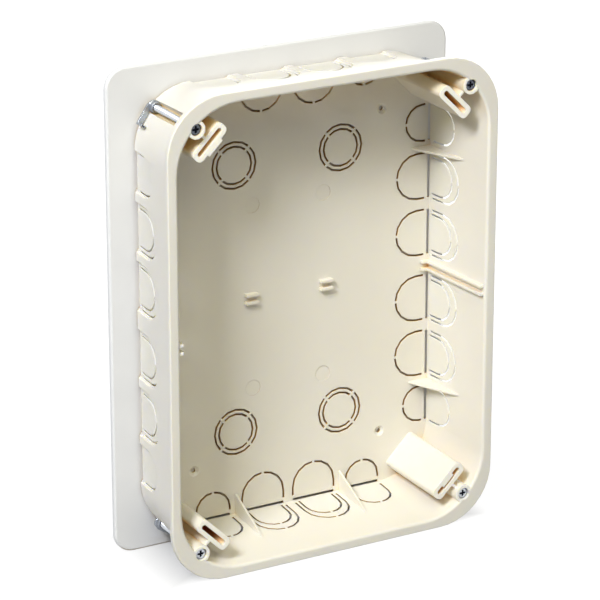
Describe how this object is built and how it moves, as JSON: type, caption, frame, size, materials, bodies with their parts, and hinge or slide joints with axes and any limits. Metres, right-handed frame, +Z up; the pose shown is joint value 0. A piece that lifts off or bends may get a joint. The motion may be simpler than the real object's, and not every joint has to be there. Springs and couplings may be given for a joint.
{
  "type": "junction box",
  "caption": "Large flush junction box for hollow walls, with conduit knock-outs, corner clamp screws with swing-out claws, and a plain cover plate stood behind it.",
  "frame": {"origin": "centre of the wall cut-out, on the wall's surface, where the flange's rear face lies", "axes": "+X to the right seen from the front, +Y into the wall, +Z up"},
  "size_m": [0.198, 0.0771, 0.262],
  "materials": {
    "ivory_plastic": "satin moulded",
    "white_plastic": "fine satin moulded",
    "zinc_plated_steel": "bright zinc plate"
  },
  "bodies": {
    "box": {"box_body": "ivory_plastic", "cover_plate": "white_plastic"},
    "top_left_screw": {"clamp_screw_top_left": "zinc_plated_steel"},
    "top_left_claw": {"claw_top_left": "zinc_plated_steel"},
    "top_right_screw": {"clamp_screw_top_right": "zinc_plated_steel"},
    "top_right_claw": {"claw_top_right": "zinc_plated_steel"},
    "bottom_left_screw": {"clamp_screw_bottom_left": "zinc_plated_steel"},
    "bottom_left_claw": {"claw_bottom_left": "zinc_plated_steel"},
    "bottom_right_screw": {"clamp_screw_bottom_right": "zinc_plated_steel"},
    "bottom_right_claw": {"claw_bottom_right": "zinc_plated_steel"}
  },
  "joints": [
    {"name": "top_left_screw_turn", "type": "hinge", "parent": "box", "child": "top_left_screw", "pos_m": [-0.0786, 0, 0.1128], "axis": [0, 1, 0], "continuous": true},
    {"name": "top_left_claw_swing", "type": "hinge", "parent": "box", "child": "top_left_claw", "pos_m": [-0.0786, 0, 0.1128], "axis": [0, 1, 0], "range_deg": [0, 100]},
    {"name": "top_right_screw_turn", "type": "hinge", "parent": "box", "child": "top_right_screw", "pos_m": [0.0786, 0, 0.1128], "axis": [0, 1, 0], "continuous": true},
    {"name": "top_right_claw_swing", "type": "hinge", "parent": "box", "child": "top_right_claw", "pos_m": [0.0786, 0, 0.1128], "axis": [0, 1, 0], "range_deg": [-100, 0]},
    {"name": "bottom_left_screw_turn", "type": "hinge", "parent": "box", "child": "bottom_left_screw", "pos_m": [-0.0786, 0, -0.1128], "axis": [0, 1, 0], "continuous": true},
    {"name": "bottom_left_claw_swing", "type": "hinge", "parent": "box", "child": "bottom_left_claw", "pos_m": [-0.0786, 0, -0.1128], "axis": [0, 1, 0], "range_deg": [0, 100]},
    {"name": "bottom_right_screw_turn", "type": "hinge", "parent": "box", "child": "bottom_right_screw", "pos_m": [0.0786, 0, -0.1128], "axis": [0, 1, 0], "continuous": true},
    {"name": "bottom_right_claw_swing", "type": "hinge", "parent": "box", "child": "bottom_right_claw", "pos_m": [0.0786, 0, -0.1128], "axis": [0, 1, 0], "range_deg": [-100, 0]}
  ]
}
